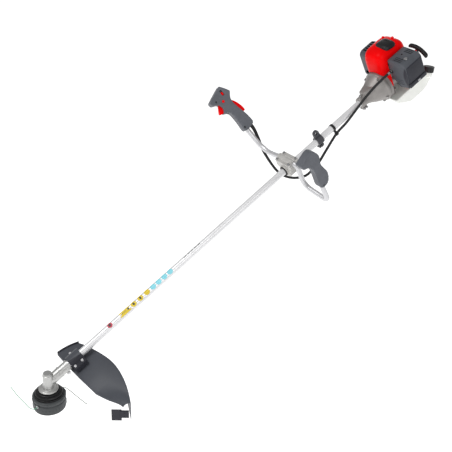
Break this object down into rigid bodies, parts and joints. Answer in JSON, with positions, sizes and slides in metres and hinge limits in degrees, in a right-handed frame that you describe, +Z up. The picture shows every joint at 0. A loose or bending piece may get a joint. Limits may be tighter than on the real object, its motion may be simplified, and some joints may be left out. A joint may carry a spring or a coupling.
{
  "type": "petrol string trimmer",
  "caption": "Petrol string trimmer: a long straight shaft with a bike handle, a small engine at the top end, a guard and a bump-feed line head.",
  "frame": {"origin": "centre of the harness eye on the clamp above the shaft, held as in use with the head's spindle vertical", "axes": "+X from the line head towards the engine, +Y to the operator's right and along the harness eye, +Z up along the head's spindle; the shaft rises 30 degrees towards +X"},
  "size_m": [1.7598, 0.5778, 1.1264],
  "materials": {
    "alloy": "cast and machined",
    "clutch_grey": "satin grey paint",
    "steel": "machined",
    "tube_silver": "drawn tube, satin",
    "black_plastic": "moulded black",
    "dark_plastic": "moulded dark grey",
    "grey_plastic": "moulded grey",
    "red_plastic": "glossy red moulding",
    "line": "nylon line",
    "rubber": "black rubber",
    "tank_white": "milky translucent moulding"
  },
  "bodies": {
    "frame": {"gear_case": "alloy", "ball_bearings": "steel", "guard": "dark_plastic", "guard_clamp": "dark_plastic", "line_cutter": "steel", "shaft_tube": "tube_silver", "shaft_bushes": "rubber", "harness_clamp": "dark_plastic", "cable_clip": "black_plastic", "handlebar_bracket": "clutch_grey", "handlebar_cap": "clutch_grey", "bracket_bush": "rubber", "handlebar": "tube_silver", "left_grip": "grey_plastic", "control_grip_left": "grey_plastic", "control_grip_right": "grey_plastic", "throttle_conduit": "rubber", "cap_screws": "steel", "small_screws": "steel", "clutch_housing": "clutch_grey", "crankcase": "clutch_grey", "engine_cylinder": "alloy", "spark_plug": "steel", "muffler": "steel", "muffler_guard": "dark_plastic", "carburettor": "clutch_grey", "filter_cover": "grey_plastic", "engine_cowl": "red_plastic", "cowl_cap": "black_plastic", "starter_housing": "red_plastic", "fuel_tank": "tank_white"},
    "head": {"bevel_gear": "steel", "output_spindle": "steel", "cutter_flange": "alloy", "spool_cap": "black_plastic", "spool_housing": "dark_plastic", "line_eyelets": "steel", "line_left": "line", "line_right": "line", "spool_spring": "steel"},
    "drive": {"drive_shaft": "steel", "bevel_pinion": "steel", "clutch_drum": "steel"},
    "spool_body": {"spool": "black_plastic", "bump_knob": "black_plastic"},
    "engine": {"crankshaft": "steel", "flywheel": "alloy", "clutch_shoes": "steel"},
    "piston_body": {"piston": "alloy", "connecting_rod": "steel"},
    "trigger": {"throttle_trigger": "red_plastic"},
    "lockout": {"throttle_lockout": "red_plastic"},
    "stop_button": {"stop_switch": "red_plastic"},
    "half_throttle": {"half_throttle_button": "red_plastic"},
    "valve": {"throttle_valve": "steel"},
    "choke": {"choke_lever": "black_plastic"},
    "primer": {"primer_bulb": "rubber"},
    "filler_cap": {"fuel_cap": "black_plastic"},
    "handle": {"starter_handle": "black_plastic"},
    "reel": {"starter_reel": "black_plastic"}
  },
  "joints": [
    {"name": "head_spin", "type": "hinge", "parent": "frame", "child": "head", "pos_m": [-1.12342, 0, -0.69018], "axis": [0, 0, 1], "continuous": true},
    {"name": "drive_spin", "type": "hinge", "parent": "frame", "child": "drive", "pos_m": [-1.12342, 0, -0.69018], "axis": [0.866, 0, 0.5], "continuous": true},
    {"name": "bump_feed", "type": "slide", "parent": "head", "child": "spool_body", "axis": [0, 0, 1], "range_m": [0, 0.006], "stiffness_N_per_m": 1200, "springref_m": -0.01, "deforming": ["spool_spring"]},
    {"name": "engine_spin", "type": "hinge", "parent": "frame", "child": "engine", "pos_m": [0.34882, 0, 0.15982], "axis": [0.866, 0, 0.5], "continuous": true},
    {"name": "piston_stroke", "type": "slide", "parent": "frame", "child": "piston_body", "axis": [-0.5, 0, 0.866], "range_m": [-0.03, 0]},
    {"name": "trigger_pull", "type": "hinge", "parent": "frame", "child": "trigger", "pos_m": [-0.22267, 0.28177, 0.07167], "axis": [-0.2796, -0.829, 0.4843], "range_deg": [0, 15], "stiffness_Nm_per_rad": 0.3, "springref_deg": -22.92},
    {"name": "lockout_press", "type": "hinge", "parent": "frame", "child": "lockout", "pos_m": [-0.20369, 0.27953, 0.0788], "axis": [0.2796, 0.829, -0.4843], "range_deg": [0, 8], "stiffness_Nm_per_rad": 0.3, "springref_deg": -17.19},
    {"name": "stop_slide", "type": "slide", "parent": "frame", "child": "stop_button", "axis": [-0.4145, 0.5592, 0.718], "range_m": [0, 0.008]},
    {"name": "half_throttle_press", "type": "slide", "parent": "frame", "child": "half_throttle", "axis": [0.2796, 0.829, -0.4843], "range_m": [0, 0.003], "stiffness_N_per_m": 300, "springref_m": -0.004},
    {"name": "valve_turn", "type": "hinge", "parent": "frame", "child": "valve", "pos_m": [0.33095, -0.063, 0.21878], "axis": [0.5, 0, -0.866], "range_deg": [0, 75]},
    {"name": "choke_turn", "type": "hinge", "parent": "frame", "child": "choke", "pos_m": [0.3981, -0.096, 0.23446], "axis": [0.866, 0, 0.5], "range_deg": [0, 60]},
    {"name": "primer_press", "type": "slide", "parent": "frame", "child": "primer", "axis": [-0.5, 0, 0.866], "range_m": [0, 0.004], "stiffness_N_per_m": 400, "springref_m": -0.004},
    {"name": "filler_cap_turn", "type": "hinge", "parent": "frame", "child": "filler_cap", "pos_m": [0.52492, -0.05, 0.16681], "axis": [0.0872, 0, 0.9962], "range_deg": [0, 270]},
    {"name": "starter_pull", "type": "slide", "parent": "frame", "child": "handle", "axis": [0.866, 0, 0.5], "range_m": [0, 0.6], "stiffness_N_per_m": 25, "springref_m": -0.4},
    {"name": "reel_spin", "type": "hinge", "parent": "frame", "child": "reel", "pos_m": [0.43369, 0, 0.20882], "axis": [0.866, 0, 0.5], "range_deg": [0, 960]}
  ],
  "couplings": [
    {"joint": "drive_spin", "follows": "head_spin", "ratio": -1.3571},
    {"joint": "valve_turn", "follows": "trigger_pull", "ratio": 5},
    {"joint": "reel_spin", "follows": "starter_pull", "rad_per_m": 27.8}
  ]
}
